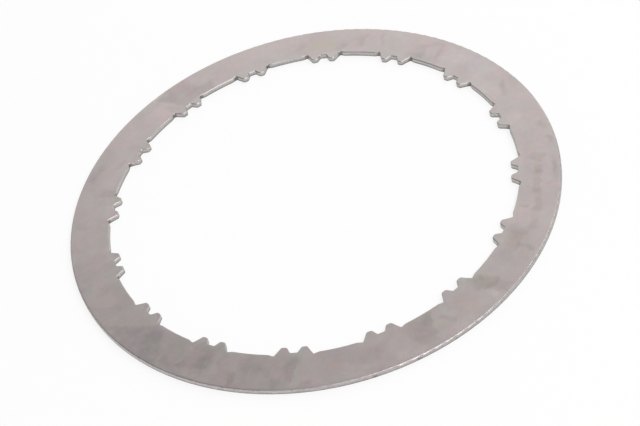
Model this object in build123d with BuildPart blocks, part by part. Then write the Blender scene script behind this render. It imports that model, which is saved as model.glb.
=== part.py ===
from build123d import *

import os
from math import acos, cos, degrees, radians, tan

# Steel backing plate of a multi-plate wet clutch. It is one flat ring, blanked and pierced from
# hardened strip. Pairs of teeth on its bore slide along the splines of the clutch hub, and its two flat
# faces are squeezed between lined friction plates. The origin is on the hub's axis in the lower face, +Z
# runs along that axis and out of the face whose edges the press rolled over, and a pair of teeth is
# centred on +X. Lengths are in millimetres and angles in degrees.

# Ring
bore_diameter = 125.7  # on the plain arcs between one pair of teeth and the next
band_width = 12.15  # from those arcs to the rim
thickness = 1.6

# Teeth, which have the involute flanks of a spline. Heights are inwards from the plain arcs
pair_count = 16
tooth_pitch = 5.8  # between the middles of the two teeth of a pair, along the pitch circle
tooth_width = 2.95  # along the pitch circle
tooth_height = 2.45
pitch_circle_height = 1.25
valley_height = 0.55  # of the floor between the two teeth of a pair
pressure_angle = 30.0
tip_corner_radius = 0.85
valley_corner_radius = 0.45

# Relief beside each pair, which keeps the corners of the hub's splines off the feet of the teeth
relief_depth = 0.5  # beyond the plain arcs, at the foot of the tooth
relief_length = 1.6  # from the foot of the tooth to where the relief runs out
relief_corner_radius = 0.4
run_out_corner_radius = 1.5

# Edges left by the press: the upper ones are rolled over, and the burr is dressed off the lower rim
rim_roll_over = 0.4
bore_roll_over = 0.22
dressed_edge = 0.1

bore_radius = bore_diameter / 2
outer_radius = bore_radius + band_width
tip_radius = bore_radius - tooth_height
pitch_radius = bore_radius - pitch_circle_height
valley_radius = bore_radius - valley_height
relief_radius = bore_radius + relief_depth
base_radius = pitch_radius * cos(radians(pressure_angle))


def involute(angle):
    return tan(angle) - angle


def flank_angle(radius, side):
    """Angle from the middle of the pair to one flank of its first tooth.

    The side is -1 for the flank on the valley and 1 for the flank on the relief. The tooth points
    inwards, so it grows wider with the radius.
    """
    spread = involute(acos(base_radius / radius)) - involute(radians(pressure_angle))
    half_width = tooth_width / 2 / pitch_radius + spread
    return degrees(tooth_pitch / 2 / pitch_radius + side * half_width)


def point_at(radius, angle):
    return Vector(radius, 0).rotate(Axis.Z, angle)


def draw_flank(start_radius, end_radius, side):
    """The arc through three points of the involute, which stays within a hundredth of it."""
    radii = (start_radius, (start_radius + end_radius) / 2, end_radius)
    return ThreePointArc(*[point_at(radius, flank_angle(radius, side)) for radius in radii])


def draw_arc(radius, start_angle, end_angle):
    return CenterArc((0, 0), radius, start_angle, end_angle - start_angle)


# Bore over one pair: half of it is drawn from the middle of the valley, over one tooth and down the
# relief beside it, to the middle of the plain arc, and the other half is its mirror image
with BuildLine() as pair_outline:
    draw_arc(valley_radius, 0, flank_angle(valley_radius, -1))
    valley_flank = draw_flank(valley_radius, tip_radius, -1)
    draw_arc(tip_radius, flank_angle(tip_radius, -1), flank_angle(tip_radius, 1))
    relief_flank = draw_flank(tip_radius, relief_radius, 1)
    run_out_angle = flank_angle(relief_radius, 1) + degrees(relief_length / bore_radius)
    relief_floor = Line(relief_flank @ 1, point_at(bore_radius, run_out_angle))
    draw_arc(bore_radius, run_out_angle, 180 / pair_count)
    for corner, corner_radius in (
        (valley_flank @ 0, valley_corner_radius),
        (valley_flank @ 1, tip_corner_radius),
        (relief_flank @ 0, tip_corner_radius),
        (relief_flank @ 1, relief_corner_radius),
        (relief_floor @ 1, run_out_corner_radius),
    ):
        fillet(pair_outline.vertices().sort_by_distance(corner)[0], corner_radius)
    mirror(about=Plane.XZ)

with BuildSketch() as blank:
    Circle(outer_radius)
    with BuildLine():
        with PolarLocations(0, pair_count):
            add(pair_outline.line)
    make_face(mode=Mode.SUBTRACT)

with BuildPart() as backing_plate:
    add(blank.sketch)
    extrude(amount=thickness)
    upper_face = backing_plate.faces().sort_by(Axis.Z)[-1]
    lower_face = backing_plate.faces().sort_by(Axis.Z)[0]
    upper_rim = upper_face.outer_wire().edges()
    upper_bore = upper_face.inner_wires()[0].edges()
    lower_rim = lower_face.outer_wire().edges()
    fillet(upper_rim, rim_roll_over)
    chamfer(upper_bore, bore_roll_over)
    chamfer(lower_rim, dressed_edge)

backing_plate.part.label = "backing_plate"
os.makedirs("parts", exist_ok=True)
export_step(backing_plate.part, "parts/backing_plate.step")
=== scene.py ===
from math import cos, pi, radians, sin

import bpy
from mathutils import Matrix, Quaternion, Vector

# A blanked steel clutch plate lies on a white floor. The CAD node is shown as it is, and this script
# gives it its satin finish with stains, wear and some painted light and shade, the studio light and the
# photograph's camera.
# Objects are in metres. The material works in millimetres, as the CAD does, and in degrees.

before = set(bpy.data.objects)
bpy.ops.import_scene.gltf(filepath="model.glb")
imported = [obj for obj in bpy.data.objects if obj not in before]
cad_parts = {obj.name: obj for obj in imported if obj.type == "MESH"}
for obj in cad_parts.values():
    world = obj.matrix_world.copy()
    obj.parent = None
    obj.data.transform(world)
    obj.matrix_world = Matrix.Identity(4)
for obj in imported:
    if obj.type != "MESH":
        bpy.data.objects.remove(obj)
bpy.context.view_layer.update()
scene = bpy.context.scene
scene.view_settings.view_transform = "Standard"

# Camera, fitted to the outline of the plate in the photograph
CAMERA_PLACE = Vector((-0.03755, -0.30192, 0.29078))
CAMERA_AIM = Vector((-0.00034, -0.00978, 0.0))
CAMERA_ROLL = -16.02
CAMERA_LENS = 78.33
SENSOR_WIDTH = 36.0
CLIP_START = 0.01

# World: its strength on the bright side, on the dark side, and in the band round the horizon. The dark
# side fades in between two values of a direction's X and of its Y, and the band fades out over its Z
BRIGHT_SIDE = 0.56
DARK_SIDE = 0.265
DARK_SIDE_X = (-0.1, -0.7)
DARK_SIDE_Y = (-0.6, -0.1)
HORIZON = 0.92
HORIZON_Z = (0.08, 0.3)

# Floor, just clear of the plate's lower face, and the light of its own that makes it show white
FLOOR_SIZE = 6.0
FLOOR_DROP = 0.00002
FLOOR_COLOUR = (0.22, 0.22, 0.22, 1.0)
FLOOR_LIFT = 0.785

# Lamps, which all face one point: place, width and height, and power in watts
SOFTBOX_AIM = Vector((0.0, 0.0, 0.0))
SOFTBOXES = {
    "key_softbox": ((0.512, 0.887, 0.8), (0.8, 0.8), 1.1),
    "back_softbox": ((0.0, 1.222, 0.445), (0.8, 0.8), 2.1),
    "side_softbox": ((0.887, 0.512, 0.8), (0.8, 0.8), 2.45),
    "front_softbox": ((0.353, -0.757, 0.996), (1.5, 0.6), 6.8),
}

# Sizes of the plate that its finish follows. The relief's angle is counted from the middle of its pair
MM_PER_METRE = 1000.0
OUTER_RADIUS = 75.0
INNER_RADIUS = 62.85
PAIR_COUNT = 16
RELIEF_ANGLE = 5.2

# Values of the normal's Z between which the upper face, the walls and the rolled edges fade in
UPPER_FACE_NORMAL = (0.5, 0.95)
WALL_NORMAL = (0.35, 0.05)
EDGE_TOP_NORMAL = (0.985, 0.9)
EDGE_FOOT_NORMAL = (0.1, 0.35)

# Colours of the steel and of its rubbed edges in linear light, and factors on the first: those of its
# pink and its green oxide, of the cleaner border along the bore and of the walls
WHITE = (1.0, 1.0, 1.0, 1.0)
STEEL_COLOUR = (0.458, 0.406, 0.398, 1.0)
RUBBED_COLOUR = (0.56, 0.55, 0.545, 1.0)
PINK_OXIDE = (1.014, 0.99, 0.994, 1.0)
GREEN_OXIDE = (0.986, 1.01, 1.0, 1.0)
BORDER_TINT = (0.975, 1.012, 1.0, 1.0)
WALL_TINT = (0.96, 1.01, 1.02, 1.0)

# Noise patterns: the size of their bumps in millimetres, and their detail, roughness and distortion
PATTERNS = {
    "bend": (4.0, 3.0, 0.55, 0.0),
    "unevenness": (2.6, 4.0, 0.6, 0.0),
    "clouds": (16.0, 3.0, 0.55, 0.0),
    "patches": (7.0, 2.5, 0.6, 0.8),
    "oxide": (6.0, 3.0, 0.6, 0.4),
    "grain": (0.35, 2.0, 0.6, 0.0),
    "speckle": (1.1, 3.0, 0.65, 0.0),
    "fine_hue": (2.4, 2.0, 0.5, 0.0),
    "tear_line": (3.0, 3.0, 0.6, 0.0),
    "torn_grain": (0.16, 3.0, 0.7, 0.0),
    "draw_lines": (0.22, 2.0, 0.5, 0.0),
    "flecks": (0.9, 3.0, 0.65, 0.0),
    "coarse_grain": (0.45, 2.0, 0.6, 0.0),
    "rubbing": (0.8, 3.0, 0.6, 0.0),
}

# Noise lies round its middle, mostly between these low and high values. For the torn grain the two
# are closer
NOISE_MIDDLE = (0.5, 0.5, 0.5)
NOISE_LOW = 0.3
NOISE_HIGH = 0.7
TORN_NOISE = (0.35, 0.65)

# Values between which a pattern's edges fade, where the pattern is cut into patches
PATCH_EDGE = (0.46, 0.58)
OXIDE_EDGE = (0.38, 0.62)
FLECK_EDGE = (0.6, 0.72)
RUBBING_EDGE = (0.4, 0.55)

# Factors on the height of the points that a pattern is laid over. A large one makes the pattern differ
# from the upper face to the lower one, and a small one draws it out down the walls
FACE_STRETCH = 20.0
TORN_STRETCH = 0.45
DRAWN_STRETCH = 0.06

# Factors that the patterns put on the brightness, from their low to their high values, and how far
# the fine hue moves red, green and blue
CLOUD_TONE = (0.95, 1.05)
PATCH_TONE = (0.978, 1.022)
GRAIN_TONE = (0.975, 1.025)
SPECKLE_TONE = (0.975, 1.025)
TORN_TONE = (0.88, 1.06)
BURNISHED_TONE = (1.02, 1.18)
FLECK_TONE = (1.0, 0.6)
COARSE_TONE = (0.86, 1.14)
FINE_HUE_REACH = (0.11, 0.09, 0.13)

# Cleaner border along the bore: where it fades in, as distances from the bore's arcs, how much
# brighter it is, and how much of its tint it takes
BORDER_FADE = (2.6, 0.2)
BORDER_TONE = 1.02
BORDER_SHARE = 0.8

# Walls: the heights between which the line of tearing wanders, how far it fades to each side, and the
# heights at the foot over which the walls go from a painted shade, where they meet the floor, to a
# lighter tone
TEAR_HEIGHTS = (0.55, 0.95)
TEAR_FADE = 0.12
FOOT_HEIGHTS = (0.12, 0.5)
PAINTED_FOOT_SHADE = (0.7, 1.05)

# Darker walls in the reliefs: the degrees to each side and the distances from the bore's arcs over
# which the darkening fades, and its darkness
RELIEF_DARK_SIDE_FADE = (0.9, 0.3)
RELIEF_DARK_INNER_FADE = (-0.5, 0.1)
RELIEF_DARK_OUTER_FADE = (1.2, 0.6)
RELIEF_DARK_TONE = 0.55

# Rubbed edges: how much of their colour shows, and how much of them is left on the bore. That share
# grows to all of them between two distances from the bore's arcs
RUBBED_SHARE = 0.8
BORE_RUBBED_SHARE = 0.3
BORE_RUBBED_FADE = (3.0, 6.0)

# Roughness of each finish. On the faces it goes from the first to the second as the factor of the
# stains and the painted light and shade goes from dark to clean, and patches and speckle add their
# part, up or down
STAINED_ROUGHNESS = 0.5
CLEAN_ROUGHNESS = 0.4
STAINED_TO_CLEAN = (0.8, 1.05)
TORN_ROUGHNESS = 0.58
BURNISHED_ROUGHNESS = 0.38
RUBBED_ROUGHNESS = 0.36
PATCH_ROUGHNESS = 0.02
SPECKLE_ROUGHNESS = 0.03

# Heights of the bump that each pattern makes
GRAIN_BUMP = 0.004
SPECKLE_BUMP = 0.006
CLOUD_BUMP = 0.012
TORN_BUMP = 0.06

# Gentle slope of the faces next to the rim, which the press leaves: its width and drop
ROLL_WIDTH = 0.9
ROLL_DROP = 0.035

# Stains and painted tones: how far the bending noise moves their outlines, the least softness of their
# edges, and the factor on the softness that the table gives
BEND_REACH = 4.2
LEAST_SOFTNESS = 0.5
SOFTER = 1.5

# Their strength within their outlines, from the weakest place to the strongest, and the noise for both
UNEVEN_STRENGTH = (0.6, 1.15)
UNEVEN_NOISE = (0.32, 0.62)

# Their tints, as factors on the steel's colour
TINTS = {
    "grey": (1.0, 1.0, 1.0),
    "brown": (1.012, 0.996, 0.985),
    "rust": (1.025, 0.985, 0.965),
    "pink": (1.015, 0.985, 0.99),
    "violet": (1.005, 0.985, 1.01),
    "blue": (0.985, 1.0, 1.015),
    "green": (0.985, 1.012, 0.997),
    "olive": (1.0, 1.012, 0.97),
    "moss": (1.0, 1.015, 0.935),
}

# The stains on the upper face, with broad changes of tone that are partly stains and partly painted
# light and shade. Each runs from one point to another, given by azimuth and radius, and has its widths
# at both, the softness of its left edge, right edge and ends, its shade and its tint. The broad changes
# of tone come first, and the marks follow by azimuth
STAINS_AND_PAINTED_LIGHT = (
    # Broad changes of tone, partly painted light and shade
    ((75.0, 76.0), (75.0, 62.0), (46.0, 40.0), (10.0, 10.0, 0.5), 0.975, "grey"),
    ((163.0, 76.0), (163.0, 62.0), (28.0, 22.0), (9.0, 9.0, 0.5), 1.045, "grey"),
    ((267.0, 76.0), (267.0, 62.0), (20.0, 16.0), (7.0, 7.0, 0.5), 1.025, "grey"),
    ((21.0, 75.5), (22.5, 67.0), (15.0, 12.0), (3.0, 3.0, 2.0), 1.065, "blue"),
    ((121.0, 71.0), (121.0, 63.0), (7.0, 9.0), (1.6, 2.6, 1.4), 1.09, "pink"),
    ((216.5, 75.5), (213.5, 62.5), (16.0, 13.0), (2.2, 1.8, 0.8), 0.925, "grey"),
    ((304.0, 68.0), (306.4, 62.8), (10.0, 9.0), (1.4, 1.4, 1.2), 0.965, "blue"),
    ((334.5, 74.6), (347.0, 74.0), (3.4, 4.4), (1.2, 1.2, 2.0), 0.965, "grey"),
    ((263.0, 70.8), (267.0, 64.6), (6.5, 6.0), (2.0, 2.0, 1.4), 0.965, "grey"),
    ((13.5, 67.5), (13.0, 62.6), (16.0, 14.0), (3.0, 3.0, 1.6), 1.06, "grey"),
    ((104.8, 67.6), (104.8, 62.6), (6.4, 6.0), (1.2, 1.2, 1.2), 0.90, "grey"),
    ((114.8, 75.2), (115.2, 72.4), (6.5, 4.5), (1.0, 0.8, 0.8), 1.09, "blue"),
    ((141.0, 69.0), (141.0, 63.5), (24.0, 22.0), (4.0, 4.0, 1.5), 1.05, "grey"),
    ((175.6, 76.0), (175.6, 62.0), (8.5, 7.5), (2.5, 2.5, 0.5), 1.07, "grey"),
    ((219.0, 74.8), (219.0, 71.2), (3.8, 3.2), (1.0, 1.0, 0.8), 0.93, "grey"),
    ((227.0, 72.4), (226.6, 66.0), (4.0, 4.0), (1.4, 1.4, 1.4), 0.93, "green"),
    ((228.6, 67.6), (228.8, 62.6), (3.6, 3.8), (1.0, 1.0, 1.0), 0.90, "grey"),
    ((238.2, 71.0), (238.2, 63.0), (5.5, 5.0), (1.5, 1.5, 1.5), 0.93, "grey"),
    ((261.0, 74.8), (260.6, 69.0), (8.0, 6.5), (2.0, 2.0, 2.0), 1.09, "grey"),
    ((267.0, 71.6), (267.2, 66.0), (6.0, 5.5), (1.5, 1.5, 1.5), 0.92, "grey"),
    ((273.5, 74.8), (273.8, 70.8), (9.5, 8.0), (2.0, 1.5, 1.5), 1.09, "grey"),
    ((285.5, 74.8), (285.5, 71.4), (13.0, 12.0), (2.0, 2.0, 1.2), 1.07, "grey"),
    ((296.6, 67.8), (296.8, 63.0), (4.0, 3.8), (1.0, 1.0, 1.0), 0.93, "grey"),
    ((297.2, 74.8), (297.4, 71.8), (3.2, 2.6), (0.8, 0.8, 0.8), 1.10, "grey"),
    ((12.3, 71.3), (6.6, 67.8), (2.2, 1.2), (0.8, 0.8, 1.2), 0.90, "grey"),
    ((8.5, 73.4), (12.5, 74.2), (1.8, 1.8), (0.8, 0.8, 1.0), 0.94, "green"),
    ((29.4, 72.5), (28.9, 66.0), (6.5, 6.0), (1.0, 3.0, 1.5), 1.04, "grey"),
    ((33.2, 72.6), (32.8, 66.2), (1.9, 1.4), (1.2, 0.4, 1.0), 0.92, "violet"),
    ((33.4, 73.0), (38.6, 70.6), (2.6, 2.2), (1.0, 1.0, 1.5), 0.96, "violet"),
    ((39.0, 70.6), (38.8, 64.0), (4.0, 5.6), (0.5, 3.5, 0.8), 0.92, "green"),
    ((31.5, 64.6), (40.0, 64.8), (3.0, 3.4), (2.0, 1.0, 2.0), 0.94, "grey"),
    ((51.2, 72.6), (50.6, 66.5), (2.0, 1.8), (1.0, 0.6, 1.5), 0.95, "brown"),
    ((56.5, 71.6), (56.8, 66.4), (2.8, 2.4), (0.4, 1.6, 1.0), 0.92, "olive"),
    ((61.6, 67.8), (63.4, 63.6), (2.6, 2.4), (0.6, 1.2, 1.0), 0.93, "grey"),
    ((67.6, 70.8), (67.3, 64.8), (8.2, 6.4), (1.2, 1.2, 1.0), 0.99, "moss"),
    ((74.0, 70.3), (75.2, 65.4), (2.4, 1.8), (1.2, 1.2, 1.5), 0.96, "pink"),
    ((93.6, 70.4), (94.2, 66.8), (4.5, 3.6), (1.2, 1.2, 1.2), 1.02, "pink"),
    ((107.6, 74.0), (109.2, 64.0), (4.6, 4.0), (1.0, 2.4, 1.5), 0.97, "violet"),
    ((111.9, 75.0), (109.9, 63.2), (13.0, 5.6), (2.0, 0.2, 0.8), 0.925, "brown"),
    ((114.6, 74.6), (113.4, 68.6), (6.0, 4.4), (1.6, 0.2, 1.2), 0.96, "blue"),
    ((117.0, 71.0), (114.6, 65.6), (1.6, 1.2), (0.8, 0.4, 1.5), 1.05, "olive"),
    ((134.4, 67.4), (132.2, 63.8), (2.6, 2.0), (1.0, 1.0, 1.0), 0.98, "brown"),
    ((139.0, 65.6), (142.8, 66.0), (1.8, 1.6), (0.8, 0.8, 1.0), 0.94, "grey"),
    ((148.6, 73.3), (142.2, 71.0), (2.6, 2.4), (1.0, 1.0, 1.5), 0.93, "violet"),
    ((152.5, 67.5), (152.3, 62.6), (3.4, 2.8), (0.4, 0.4, 0.5), 0.92, "brown"),
    ((163.6, 74.2), (163.6, 69.8), (3.4, 3.0), (1.4, 0.5, 1.0), 0.95, "violet"),
    ((177.6, 73.8), (177.6, 69.0), (4.4, 4.0), (1.5, 1.0, 1.2), 0.975, "violet"),
    ((189.4, 70.2), (186.0, 66.8), (2.4, 2.0), (0.8, 0.8, 1.2), 0.94, "brown"),
    ((193.9, 69.2), (195.8, 66.6), (1.5, 1.2), (0.4, 0.4, 0.6), 0.93, "brown"),
    ((207.9, 75.2), (209.6, 63.6), (26.0, 3.0), (1.0, 2.0, 0.8), 0.88, "blue"),
    ((203.4, 71.6), (206.4, 67.2), (2.6, 2.0), (1.2, 1.0, 1.0), 0.97, "violet"),
    ((210.0, 73.0), (210.0, 65.6), (6.5, 3.2), (1.6, 1.6, 1.2), 0.95, "green"),
    ((217.5, 73.6), (216.0, 70.2), (2.8, 1.8), (0.5, 0.8, 0.8), 0.90, "brown"),
    ((223.4, 72.6), (224.8, 62.6), (8.8, 5.6), (0.5, 0.6, 0.8), 0.88, "brown"),
    ((225.0, 71.4), (225.4, 64.4), (3.2, 2.4), (0.6, 1.4, 0.8), 0.94, "blue"),
    ((237.8, 75.0), (238.6, 62.6), (22.0, 20.0), (1.5, 0.1, 1.0), 0.955, "grey"),
    ((234.0, 73.8), (233.4, 69.8), (2.2, 2.2), (0.3, 0.5, 0.5), 0.88, "olive"),
    ((237.6, 69.4), (237.2, 63.6), (6.0, 5.4), (1.4, 1.4, 1.2), 0.93, "green"),
    ((241.8, 70.5), (241.8, 67.2), (2.6, 2.2), (0.5, 0.8, 0.6), 0.92, "brown"),
    ((243.9, 73.9), (243.6, 71.2), (3.0, 2.4), (0.6, 0.8, 0.6), 0.92, "blue"),
    ((247.0, 73.0), (247.0, 63.0), (1.2, 4.6), (1.8, 0.1, 0.8), 0.90, "violet"),
    ((250.5, 74.2), (250.5, 72.1), (3.8, 3.4), (0.4, 0.4, 0.4), 0.91, "grey"),
    ((258.3, 69.5), (257.8, 67.2), (3.2, 2.4), (0.6, 0.6, 0.6), 0.99, "rust"),
    ((263.4, 70.3), (264.6, 66.6), (2.8, 2.0), (0.8, 0.8, 0.8), 0.94, "violet"),
    ((266.8, 74.0), (267.6, 67.0), (2.0, 2.0), (0.6, 0.8, 1.5), 0.96, "pink"),
    ((278.6, 71.8), (278.9, 63.4), (5.6, 8.4), (1.8, 0.2, 1.6), 0.90, "brown"),
    ((280.8, 66.8), (281.4, 63.8), (2.2, 1.6), (0.5, 1.2, 0.8), 0.92, "green"),
    ((286.4, 70.2), (284.4, 66.4), (2.2, 1.6), (0.6, 0.6, 0.8), 0.91, "violet"),
    ((291.0, 71.0), (289.0, 65.5), (7.5, 6.0), (2.4, 2.4, 2.0), 0.97, "brown"),
    ((297.0, 72.4), (296.0, 69.8), (1.4, 1.2), (0.5, 0.5, 0.8), 1.05, "grey"),
    ((299.3, 74.6), (299.0, 68.8), (5.6, 4.8), (1.0, 0.4, 1.0), 0.925, "grey"),
    ((298.2, 69.6), (298.8, 63.8), (6.0, 4.6), (1.0, 0.8, 1.0), 0.96, "olive"),
    ((296.0, 68.4), (299.8, 65.6), (3.0, 3.4), (1.0, 0.8, 0.8), 0.89, "green"),
    ((297.8, 70.2), (300.8, 67.6), (2.6, 2.6), (0.8, 0.8, 1.0), 0.92, "brown"),
    ((310.2, 72.6), (310.0, 69.4), (2.0, 1.8), (0.6, 0.6, 0.8), 1.03, "rust"),
    ((311.9, 73.8), (311.5, 67.8), (1.5, 1.4), (0.4, 0.6, 0.8), 0.91, "brown"),
    ((307.8, 67.2), (315.4, 66.2), (3.4, 4.4), (0.8, 0.3, 1.0), 0.935, "olive"),
    ((314.8, 71.0), (314.6, 64.4), (4.4, 4.4), (1.6, 1.6, 1.6), 0.95, "brown"),
    ((316.6, 69.4), (316.2, 62.6), (3.2, 2.8), (1.2, 1.2, 1.0), 0.92, "green"),
    ((317.0, 70.2), (324.4, 69.4), (2.2, 2.6), (0.5, 0.2, 0.8), 0.945, "brown"),
    ((323.4, 69.9), (330.2, 68.4), (2.9, 2.6), (0.5, 0.2, 0.8), 0.925, "brown"),
    ((328.8, 68.1), (336.8, 68.2), (2.4, 2.4), (0.5, 0.2, 0.8), 0.925, "brown"),
    ((336.8, 69.2), (337.5, 66.8), (3.0, 2.6), (0.6, 0.5, 0.6), 0.90, "grey"),
    ((340.2, 70.3), (342.2, 66.8), (3.2, 2.8), (0.8, 0.6, 0.8), 0.90, "rust"),
    ((333.6, 73.6), (341.0, 72.8), (1.5, 1.5), (0.5, 0.6, 1.2), 0.94, "green"),
    ((336.2, 73.4), (339.0, 73.0), (1.8, 1.8), (0.5, 0.5, 0.6), 0.94, "green"),
    ((331.6, 72.4), (331.7, 71.2), (1.2, 1.2), (0.4, 0.4, 0.4), 0.93, "grey"),
    ((324.4, 66.6), (324.2, 64.2), (0.9, 0.9), (0.2, 0.2, 0.3), 0.86, "olive"),
    ((345.8, 73.8), (348.0, 72.2), (2.0, 1.6), (0.6, 0.6, 0.6), 0.90, "green"),
    ((350.6, 73.2), (353.5, 71.6), (1.8, 1.6), (0.6, 0.6, 0.6), 0.91, "green"),
    ((350.5, 70.2), (349.5, 67.8), (3.4, 3.0), (1.0, 1.0, 1.0), 1.0, "pink"),
    ((355.6, 67.8), (355.6, 64.0), (9.5, 8.0), (2.0, 2.0, 1.0), 1.03, "grey"),
    ((335.5, 65.4), (347.0, 65.8), (2.0, 2.0), (0.8, 0.8, 1.5), 0.98, "violet"),
)

# Nicks in the rim's wall by azimuth, height and size. They fade over these shares of their size, with
# ragged edges
NICKS = (
    (265.0, 0.6, 0.95),
    (274.8, 0.7, 0.9),
    (283.5, 0.35, 0.45),
    (296.3, 0.45, 0.45),
    (232.0, 0.5, 0.45),
)
NICK_INNER_SHARE = 0.3
NICK_OUTER_SHARE = 1.2
NICK_RAGGEDNESS = 0.25
NICK_TONE = 0.68


def place_object(name, data, place, rotation):
    item = bpy.data.objects.new(name, data)
    scene.collection.objects.link(item)
    item.location = place
    item.rotation_mode = "QUATERNION"
    item.rotation_quaternion = rotation
    return item


def make_camera():
    data = bpy.data.cameras.new("photo_camera")
    data.lens = CAMERA_LENS
    data.sensor_width = SENSOR_WIDTH
    data.sensor_fit = "HORIZONTAL"
    data.clip_start = CLIP_START
    look = (CAMERA_AIM - CAMERA_PLACE).to_track_quat("-Z", "Y")
    roll = Quaternion((0, 0, 1), radians(CAMERA_ROLL))
    scene.camera = place_object("photo_camera", data, CAMERA_PLACE, look @ roll)


def make_softbox(name, place, size, power):
    data = bpy.data.lights.new(name, "AREA")
    data.shape = "RECTANGLE"
    data.size, data.size_y = size
    data.energy = power
    place_object(name, data, place, (SOFTBOX_AIM - Vector(place)).to_track_quat("-Z", "Y"))


class Nodes:
    """Adds nodes to one tree. An input is a number, a tuple or another node's output."""

    def __init__(self, tree):
        self.tree = tree
        tree.nodes.clear()

    def add(self, kind, inputs=None, **settings):
        node = self.tree.nodes.new(kind)
        for name, value in settings.items():
            setattr(node, name, value)
        for name, value in (inputs or {}).items():
            if isinstance(value, bpy.types.NodeSocket):
                self.tree.links.new(value, node.inputs[name])
            else:
                node.inputs[name].default_value = value
        return node

    def math(self, operation, *values, clamp=False):
        inputs = dict(enumerate(values))
        return self.add("ShaderNodeMath", inputs, operation=operation, use_clamp=clamp).outputs[0]

    def times(self, first, second):
        return self.math("MULTIPLY", first, second)

    def vector(self, operation, inputs, output=0):
        return self.add("ShaderNodeVectorMath", inputs, operation=operation).outputs[output]

    def stretch(self, point, factor):
        """Multiplies the point's height by the factor."""
        return self.vector("MULTIPLY", {0: point, 1: (1.0, 1.0, factor)})

    def split(self, vector):
        return self.add("ShaderNodeSeparateXYZ", {"Vector": vector}).outputs

    def ramp(self, value, start, end, low=0.0, high=1.0):
        """Goes evenly from start to end as the value goes from low to high."""
        inputs = {"Value": value, "From Min": low, "From Max": high, "To Min": start, "To Max": end}
        return self.add("ShaderNodeMapRange", inputs).outputs["Result"]

    def spread(self, noise, start, end):
        """Goes evenly from start to end over most of the noise's values."""
        return self.ramp(noise, start, end, NOISE_LOW, NOISE_HIGH)

    def step(self, value, low, high, start=0.0, end=1.0):
        """Goes smoothly from start to end as the value goes from low to high."""
        inputs = {"Value": value, "From Min": low, "From Max": high, "To Min": start, "To Max": end}
        # A smooth step never leaves its range. The node's clamp would only fill the renderer's stack
        smooth = {"interpolation_type": "SMOOTHSTEP", "clamp": False}
        return self.add("ShaderNodeMapRange", inputs, **smooth).outputs["Result"]

    def noise(self, point, pattern, output="Fac"):
        size, detail, roughness, distortion = PATTERNS[pattern]
        inputs = {"Vector": point, "Scale": 1 / size, "Detail": detail, "Roughness": roughness}
        inputs["Distortion"] = distortion
        return self.add("ShaderNodeTexNoise", inputs).outputs[output]

    def mix(self, factor, first, second):
        """Mixes two numbers. A Mix node repeats its sockets' names, so they are given by number."""
        return self.add("ShaderNodeMix", {0: factor, 2: first, 3: second}).outputs[0]

    def colour(self, blend, factor, first, second):
        """Blends two colours, through the same node's sockets for colours."""
        inputs = {0: factor, 6: first, 7: second}
        return self.add("ShaderNodeMix", inputs, data_type="RGBA", blend_type=blend).outputs[2]


def make_world():
    """A soft grey studio, darker at the back left, with a pale band round the horizon."""
    world = bpy.data.worlds.new("studio")
    scene.world = world
    world.use_nodes = True
    nodes = Nodes(world.node_tree)
    direction = nodes.split(nodes.add("ShaderNodeTexCoord").outputs["Generated"])
    left = nodes.step(direction["X"], *DARK_SIDE_X)
    back = nodes.step(direction["Y"], *DARK_SIDE_Y)
    strength = nodes.mix(nodes.times(left, back), BRIGHT_SIDE, DARK_SIDE)
    strength = nodes.mix(nodes.step(direction["Z"], *HORIZON_Z), HORIZON, strength)
    background = nodes.add("ShaderNodeBackground", {"Color": WHITE, "Strength": strength})
    nodes.add("ShaderNodeOutputWorld", {"Surface": background.outputs[0]})


def make_floor():
    """It keeps shadows and shows white, by light of its own for the camera and for reflections."""
    bpy.ops.mesh.primitive_plane_add(size=FLOOR_SIZE, location=(0, 0, -FLOOR_DROP))
    floor = bpy.context.object
    floor.name = "studio_floor"
    material = bpy.data.materials.new("studio_floor")
    material.use_nodes = True
    nodes = Nodes(material.node_tree)
    rays = nodes.add("ShaderNodeLightPath").outputs
    seen = nodes.math("ADD", rays["Is Camera Ray"], rays["Is Glossy Ray"])
    seen = nodes.math("ADD", seen, rays["Is Transmission Ray"], clamp=True)
    lift = nodes.times(seen, FLOOR_LIFT)
    shader = nodes.add("ShaderNodeBsdfDiffuse", {"Color": FLOOR_COLOUR})
    glow = nodes.add("ShaderNodeEmission", {"Strength": lift})
    both = nodes.add("ShaderNodeAddShader", {0: shader.outputs[0], 1: glow.outputs[0]})
    nodes.add("ShaderNodeOutputMaterial", {"Surface": both.outputs[0]})
    material.cycles.emission_sampling = "NONE"
    floor.data.materials.append(material)


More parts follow.
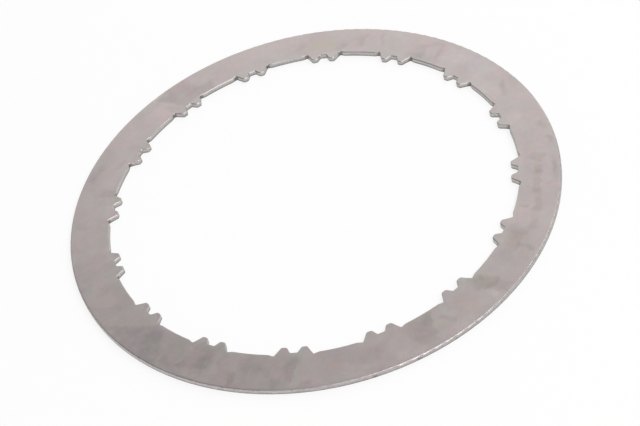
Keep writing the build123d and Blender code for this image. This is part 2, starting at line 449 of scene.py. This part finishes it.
def make_stain_group():
    """One stain or painted tone: a strip between two points with soft edges, which multiplies the
    colour under it.
    """
    group = bpy.data.node_groups.new("stain", "ShaderNodeTree")
    nodes = Nodes(group)
    socket = group.interface.new_socket
    socket("Colour", in_out="INPUT", socket_type="NodeSocketColor")
    for name in ("Point", "Direction", "Side"):
        socket(name, in_out="INPUT", socket_type="NodeSocketVector")
    for name in (
        "Middle Along", "Middle Across", "Half Length", "Half Width", "Spread", "Left", "Right", "Ends",
    ):
        socket(name, in_out="INPUT", socket_type="NodeSocketFloat")
    socket("Tint", in_out="INPUT", socket_type="NodeSocketColor")
    socket("Colour", in_out="OUTPUT", socket_type="NodeSocketColor")
    given = nodes.add("NodeGroupInput").outputs
    along = nodes.vector("DOT_PRODUCT", {0: given["Point"], 1: given["Direction"]}, output="Value")
    along = nodes.math("SUBTRACT", along, given["Middle Along"])
    across = nodes.vector("DOT_PRODUCT", {0: given["Point"], 1: given["Side"]}, output="Value")
    across = nodes.math("SUBTRACT", across, given["Middle Across"])
    half_width = nodes.math("MULTIPLY_ADD", along, given["Spread"], given["Half Width"])
    inside = {
        "Left": nodes.math("SUBTRACT", half_width, across),
        "Right": nodes.math("ADD", half_width, across),
        "Ends": nodes.math("SUBTRACT", given["Half Length"], nodes.math("ABSOLUTE", along)),
    }
    mask = 1.0
    for edge, depth in inside.items():
        # An edge fades over its softness, half of it inside the outline and half outside
        outer = nodes.times(given[edge], -0.5)
        inner = nodes.times(given[edge], 0.5)
        mask = nodes.times(mask, nodes.step(depth, outer, inner))
    mixed = nodes.colour("MULTIPLY", mask, given["Colour"], given["Tint"])
    nodes.add("NodeGroupOutput", {0: mixed})
    return group


def polar(azimuth, radius):
    return Vector((radius * cos(radians(azimuth)), radius * sin(radians(azimuth)), 0.0))


def from_bore(*distances):
    """Radii at these distances from the plain arcs of the bore."""
    return [INNER_RADIUS + distance for distance in distances]


def build_stains_and_painted_light(nodes, bent):
    """The factor that all the stains and the painted light and shade put on the colour at a point with
    bent coordinates.
    """
    stain_group = make_stain_group()
    stain_and_light_factor = WHITE
    for start, end, widths, softness, shade, tint in STAINS_AND_PAINTED_LIGHT:
        first, last = polar(*start), polar(*end)
        middle, run = (first + last) / 2, last - first
        direction = run.normalized()
        side = Vector((-direction.y, direction.x, 0.0))
        left, right, ends = (LEAST_SOFTNESS + SOFTER * part for part in softness)
        stain = nodes.add("ShaderNodeGroup", {
            "Colour": stain_and_light_factor,
            "Point": bent,
            "Direction": direction,
            "Side": side,
            "Middle Along": middle.dot(direction),
            "Middle Across": middle.dot(side),
            "Half Length": run.length / 2,
            "Half Width": (widths[0] + widths[1]) / 4,
            "Spread": (widths[1] - widths[0]) / 2 / run.length,
            "Left": left,
            "Right": right,
            "Ends": ends,
            "Tint": tuple(shade * part for part in TINTS[tint]) + (1.0,),
        }, node_tree=stain_group)
        stain_and_light_factor = stain.outputs[0]
    return stain_and_light_factor


make_camera()
make_world()
make_floor()

# Steel, laid out by the point in millimetres, its radius and height, and the way the surface faces
steel = bpy.data.materials.new("plate_steel")
steel.use_nodes = True
nodes = Nodes(steel.node_tree)
metres = nodes.add("ShaderNodeTexCoord").outputs["Object"]
point = nodes.vector("SCALE", {0: metres, "Scale": MM_PER_METRE})
flat = nodes.stretch(point, 0.0)
radius = nodes.vector("LENGTH", {0: flat}, output="Value")
x, y, height = nodes.split(point)
normal_height = nodes.split(nodes.add("ShaderNodeNewGeometry").outputs["Normal"])["Z"]
upper = nodes.step(normal_height, *UPPER_FACE_NORMAL)
wall = nodes.step(nodes.math("ABSOLUTE", normal_height), *WALL_NORMAL)
face_point = nodes.stretch(point, FACE_STRETCH)

# Stains on the upper face, with broad tones that are partly painted light and shade, which are uneven
# and have outlines that are bent by noise
bend = nodes.vector("SUBTRACT", {0: nodes.noise(flat, "bend", output="Color"), 1: NOISE_MIDDLE})
bent = nodes.vector("MULTIPLY_ADD", {0: bend, 1: (BEND_REACH, BEND_REACH, 0.0), 2: flat})
stain_and_light_factor = build_stains_and_painted_light(nodes, bent)
strength = nodes.ramp(nodes.noise(face_point, "unevenness"), *UNEVEN_STRENGTH, *UNEVEN_NOISE)
stain_and_light_factor = nodes.colour("MIX", strength, WHITE, stain_and_light_factor)

# Mottling: broad clouds, patches with firmer edges, and the pink and green of thin oxide
clouds = nodes.noise(face_point, "clouds")
patches = nodes.step(nodes.noise(face_point, "patches"), *PATCH_EDGE)
oxide = nodes.step(nodes.noise(face_point, "oxide"), *OXIDE_EDGE)
tone = nodes.spread(clouds, *CLOUD_TONE)
tone = nodes.times(tone, nodes.ramp(patches, *PATCH_TONE))

# Tumbled grain
grain = nodes.noise(point, "grain")
speckle = nodes.noise(point, "speckle")
tone = nodes.times(tone, nodes.spread(grain, *GRAIN_TONE))
tone = nodes.times(tone, nodes.spread(speckle, *SPECKLE_TONE))

# A cleaner border along the bore
border = nodes.step(radius, *from_bore(*BORDER_FADE))
tone = nodes.times(tone, nodes.ramp(border, 1.0, BORDER_TONE))

# Colour of the steel, and of the face with its stains and its painted light and shade
colour = nodes.colour("MIX", oxide, PINK_OXIDE, GREEN_OXIDE)
fine_hue = nodes.noise(face_point, "fine_hue", output="Color")
fine_hue = nodes.vector("SUBTRACT", {0: fine_hue, 1: NOISE_MIDDLE})
fine_hue = nodes.vector("MULTIPLY_ADD", {0: fine_hue, 1: FINE_HUE_REACH, 2: (1.0, 1.0, 1.0)})
colour = nodes.colour("MULTIPLY", 1.0, colour, fine_hue)
colour = nodes.colour("MULTIPLY", nodes.times(border, BORDER_SHARE), colour, BORDER_TINT)
colour = nodes.colour("MULTIPLY", 1.0, STEEL_COLOUR, colour)
colour = nodes.vector("SCALE", {0: colour, "Scale": tone})
face_colour = nodes.colour("MULTIPLY", upper, colour, stain_and_light_factor)

# Sheared wall: a burnished band under the upper edge, and below it the torn band with dark flecks
tear_height = nodes.spread(nodes.noise(point, "tear_line"), *TEAR_HEIGHTS)
above_tear = nodes.math("SUBTRACT", height, tear_height)
burnished = nodes.step(above_tear, -TEAR_FADE, TEAR_FADE)
torn_grain = nodes.noise(nodes.stretch(point, TORN_STRETCH), "torn_grain")
torn_tone = nodes.ramp(torn_grain, *TORN_TONE, *TORN_NOISE)
draw_lines = nodes.noise(nodes.stretch(point, DRAWN_STRETCH), "draw_lines")
burnished_tone = nodes.spread(draw_lines, *BURNISHED_TONE)
wall_tone = nodes.mix(burnished, torn_tone, burnished_tone)
flecks = nodes.step(nodes.noise(point, "flecks"), *FLECK_EDGE, *FLECK_TONE)
wall_tone = nodes.times(wall_tone, flecks)
coarse_grain = nodes.noise(point, "coarse_grain")
wall_tone = nodes.times(wall_tone, nodes.spread(coarse_grain, *COARSE_TONE))
# Painted shade at the foot of the walls, darker towards the floor
wall_tone = nodes.times(wall_tone, nodes.step(height, *FOOT_HEIGHTS, *PAINTED_FOOT_SHADE))

# A few dark nicks in the rim's wall
for azimuth, nick_height, size in NICKS:
    spot = polar(azimuth, OUTER_RADIUS) + Vector((0.0, 0.0, nick_height))
    away = nodes.vector("DISTANCE", {0: point, 1: spot}, output="Value")
    away = nodes.math("ADD", away, nodes.spread(torn_grain, -NICK_RAGGEDNESS, NICK_RAGGEDNESS))
    inner, outer = size * NICK_INNER_SHARE, size * NICK_OUTER_SHARE
    wall_tone = nodes.times(wall_tone, nodes.step(away, inner, outer, NICK_TONE, 1.0))

# Darker walls in the reliefs beside the teeth, placed by the angle to the middle of the nearest pair
angle = nodes.math("PINGPONG", nodes.math("ARCTAN2", y, x), pi / PAIR_COUNT)
relief_darkening = nodes.math("ABSOLUTE", nodes.math("SUBTRACT", angle, radians(RELIEF_ANGLE)))
relief_darkening = nodes.step(relief_darkening, *map(radians, RELIEF_DARK_SIDE_FADE))
relief_darkening = nodes.times(relief_darkening, nodes.step(radius, *from_bore(*RELIEF_DARK_INNER_FADE)))
relief_darkening = nodes.times(relief_darkening, nodes.step(radius, *from_bore(*RELIEF_DARK_OUTER_FADE)))
wall_tone = nodes.times(wall_tone, nodes.ramp(relief_darkening, 1.0, RELIEF_DARK_TONE))
wall_colour = nodes.vector("SCALE", {0: colour, "Scale": wall_tone})
wall_colour = nodes.colour("MULTIPLY", 1.0, wall_colour, WALL_TINT)
base = nodes.colour("MIX", wall, face_colour, wall_colour)

# Rubbed edges: lighter and smoother along the rolled-over edges, with gaps, and weaker on the bore
edge_top = nodes.step(normal_height, *EDGE_TOP_NORMAL)
edge = nodes.times(edge_top, nodes.step(normal_height, *EDGE_FOOT_NORMAL))
edge = nodes.times(edge, nodes.math("SUBTRACT", 1.0, relief_darkening))
rubbed = nodes.times(edge, nodes.step(nodes.noise(point, "rubbing"), *RUBBING_EDGE))
on_edge = nodes.step(radius, *from_bore(*BORE_RUBBED_FADE), BORE_RUBBED_SHARE, 1.0)
rubbed = nodes.times(rubbed, on_edge)
base = nodes.colour("MIX", nodes.times(rubbed, RUBBED_SHARE), base, RUBBED_COLOUR)

# Roughness, which on the faces follows the darkness of the stains and of the painted light and shade
stain_grey = nodes.add("ShaderNodeRGBToBW", {0: stain_and_light_factor}).outputs[0]
face_roughness = nodes.ramp(stain_grey, STAINED_ROUGHNESS, CLEAN_ROUGHNESS, *STAINED_TO_CLEAN)
patch_part = nodes.ramp(patches, -PATCH_ROUGHNESS, PATCH_ROUGHNESS)
face_roughness = nodes.math("ADD", face_roughness, patch_part)
speckle_part = nodes.spread(speckle, -SPECKLE_ROUGHNESS, SPECKLE_ROUGHNESS)
face_roughness = nodes.math("ADD", face_roughness, speckle_part)
wall_roughness = nodes.ramp(burnished, TORN_ROUGHNESS, BURNISHED_ROUGHNESS)
roughness = nodes.mix(wall, face_roughness, wall_roughness)
roughness = nodes.mix(rubbed, roughness, RUBBED_ROUGHNESS)

# Bump: pits, waviness and the slope next to the rim on the faces, and tearing on the walls
pits = nodes.times(grain, GRAIN_BUMP)
pits = nodes.math("ADD", pits, nodes.times(speckle, SPECKLE_BUMP))
pits = nodes.math("ADD", pits, nodes.times(clouds, CLOUD_BUMP))
over = nodes.math("SUBTRACT", radius, OUTER_RADIUS - ROLL_WIDTH)
over = nodes.math("MAXIMUM", over, 0.0)
drop = nodes.times(nodes.times(over, over), ROLL_DROP / ROLL_WIDTH ** 2)
pits = nodes.math("SUBTRACT", pits, drop)
tearing = nodes.times(torn_grain, TORN_BUMP)
tearing = nodes.times(tearing, nodes.math("SUBTRACT", 1.0, burnished))
relief = nodes.mix(wall, pits, tearing)
bump = nodes.add("ShaderNodeBump", {"Height": relief, "Strength": 1.0, "Distance": 1 / MM_PER_METRE})

shader = nodes.add("ShaderNodeBsdfPrincipled", {
    "Metallic": 1.0,
    "Base Color": base,
    "Roughness": roughness,
    "Normal": bump.outputs[0],
})
nodes.add("ShaderNodeOutputMaterial", {"Surface": shader.outputs[0]})
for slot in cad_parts["backing_plate"].material_slots:
    slot.material = steel

for name, (place, size, power) in SOFTBOXES.items():
    make_softbox(name, place, size, power)
